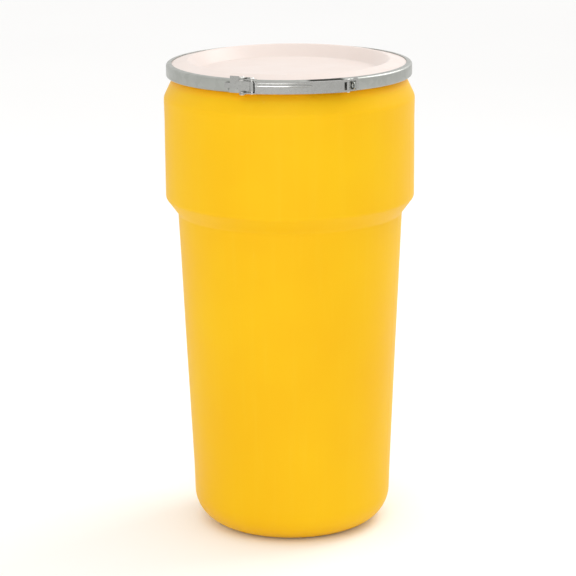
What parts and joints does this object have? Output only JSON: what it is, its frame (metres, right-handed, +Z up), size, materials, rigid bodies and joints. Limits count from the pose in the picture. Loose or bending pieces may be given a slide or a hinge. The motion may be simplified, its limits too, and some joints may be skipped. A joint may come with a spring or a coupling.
{
  "type": "overpack salvage drum",
  "caption": "Open-head plastic overpack drum with stepped collar, dished lid and lever-lock closing ring.",
  "frame": {"origin": "centre of the base, on the surface that the drum stands on", "axes": "+Z up along the drum's axis; the closing ring's lever faces -Y; +X to the right seen from the front"},
  "size_m": [0.4223, 0.4259, 0.8083],
  "materials": {
    "yellow_hdpe": "satin blow-moulded polyethylene",
    "white_hdpe": "satin moulded polyethylene",
    "gasket_rubber": "matt",
    "galvanised_steel": "galvanised, dull",
    "lever_steel": "zinc-plated",
    "rivet_steel": "bright zinc"
  },
  "bodies": {
    "drum": {"drum_body": "yellow_hdpe"},
    "lid": {"lid": "white_hdpe", "lid_gasket": "gasket_rubber"},
    "ring": {"ring_band": "galvanised_steel", "anchor_plate": "galvanised_steel", "pivot_bracket": "galvanised_steel", "pivot_rivets": "rivet_steel", "staple": "galvanised_steel"},
    "lever": {"lever": "lever_steel", "link_rivet": "rivet_steel", "hasp_pin": "rivet_steel"},
    "link": {"link": "lever_steel"},
    "hasp": {"hasp": "lever_steel"}
  },
  "joints": [
    {"name": "lid_lift", "type": "slide", "parent": "drum", "child": "lid", "axis": [0, 0, 1], "range_m": [0, 0.3]},
    {"name": "ring_lift", "type": "slide", "parent": "lid", "child": "ring", "axis": [0, 0, 1], "range_m": [0, 0.15]},
    {"name": "lever_open", "type": "hinge", "parent": "ring", "child": "lever", "pos_m": [-0.07526, -0.20022, 0.7903], "axis": [0, 0, -1], "range_deg": [0, 140]},
    {"name": "link_swing", "type": "hinge", "parent": "lever", "child": "link", "pos_m": [-0.05937, -0.20342, 0.7903], "axis": [0, 0, -1], "range_deg": [-120, 0]},
    {"name": "hasp_swing", "type": "hinge", "parent": "lever", "child": "hasp", "pos_m": [0.09448, -0.19201, 0.7903], "axis": [0, 0, -1], "range_deg": [0, 110]}
  ],
  "couplings": [
    {"joint": "link_swing", "follows": "lever_open", "ratio": -0.85}
  ]
}
